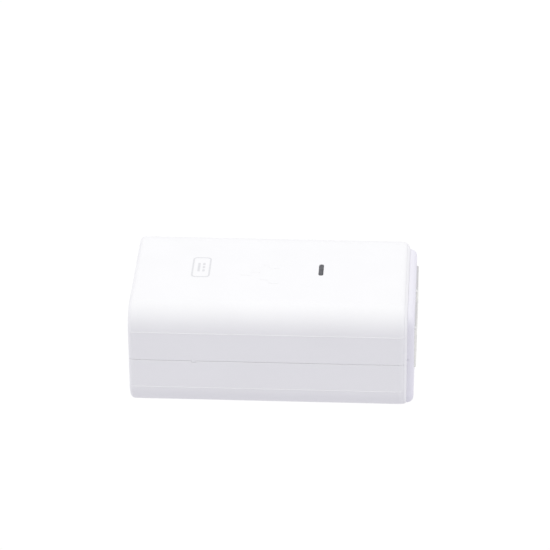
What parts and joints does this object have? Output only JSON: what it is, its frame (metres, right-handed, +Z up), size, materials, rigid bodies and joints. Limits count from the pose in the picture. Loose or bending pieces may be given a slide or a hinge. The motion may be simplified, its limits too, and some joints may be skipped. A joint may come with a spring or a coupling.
{
  "type": "poe injector",
  "caption": "Rounded white mains-to-Ethernet power injector with a stepped port end, network jacks, a mains inlet, a status light and a recessed reset button.",
  "frame": {"origin": "middle of the whole length and width, at the height of the underside", "axes": "+X towards the end with the network jacks, -X towards the mains inlet, +Z up through the face with the status light"},
  "size_m": [0.0866, 0.052, 0.034],
  "materials": {
    "white_plastic": "fine satin moulded white",
    "black_plastic": "matte moulded black",
    "grey_plastic": "matte moulded grey",
    "clear_plastic": "smoke-tinted clear",
    "led_package": "moulded white",
    "yellow_plastic": "moulded yellow",
    "capacitor_sleeve": "shrink sleeve over a metal can",
    "blue_coating": "dipped coating",
    "board_laminate": "green solder mask",
    "insulation_film": "thin film",
    "winding_tape": "polyester tape over copper",
    "label_paper": "blank matte label",
    "ferrite": "matte sintered",
    "jack_tin": "tin plated",
    "pin_nickel": "nickel plated brass",
    "contact_gold": "gold plated",
    "copper_wire": "enamelled copper",
    "heatsink_aluminium": "plain sheet"
  },
  "bodies": {
    "injector": {"top_shell": "white_plastic", "bottom_shell": "white_plastic", "end_cap": "white_plastic", "port_bezel": "white_plastic", "rating_label": "label_paper", "light_pipe": "clear_plastic", "status_led": "led_package", "circuit_board": "board_laminate", "insulation_sheet": "insulation_film", "poe_jack_shield": "jack_tin", "poe_jack_housing": "black_plastic", "poe_jack_contacts": "contact_gold", "lan_jack_shield": "jack_tin", "lan_jack_housing": "black_plastic", "lan_jack_contacts": "contact_gold", "reset_switch": "black_plastic", "inlet_housing": "black_plastic", "inlet_pin_line": "pin_nickel", "inlet_pin_neutral": "pin_nickel", "inlet_pin_earth": "pin_nickel", "mains_fuse": "black_plastic", "surge_varistor": "blue_coating", "x_capacitor": "yellow_plastic", "choke_core": "ferrite", "choke_winding_line": "copper_wire", "choke_winding_neutral": "copper_wire", "bridge_rectifier": "black_plastic", "bulk_capacitor_a": "capacitor_sleeve", "bulk_capacitor_b": "capacitor_sleeve", "transformer_core": "ferrite", "transformer_bobbin": "black_plastic", "transformer_winding": "winding_tape", "primary_heatsink": "heatsink_aluminium", "switching_transistor": "black_plastic", "pwm_controller": "black_plastic", "safety_capacitor": "blue_coating", "optocoupler": "black_plastic", "secondary_heatsink": "heatsink_aluminium", "output_rectifier": "black_plastic", "output_inductor": "ferrite", "output_capacitor_a": "capacitor_sleeve", "output_capacitor_b": "capacitor_sleeve", "ethernet_magnetics": "black_plastic"},
    "button": {"reset_button": "grey_plastic"}
  },
  "joints": [
    {"name": "reset_press", "type": "slide", "parent": "injector", "child": "button", "axis": [-1, 0, 0], "range_m": [0, 0.0005]}
  ]
}
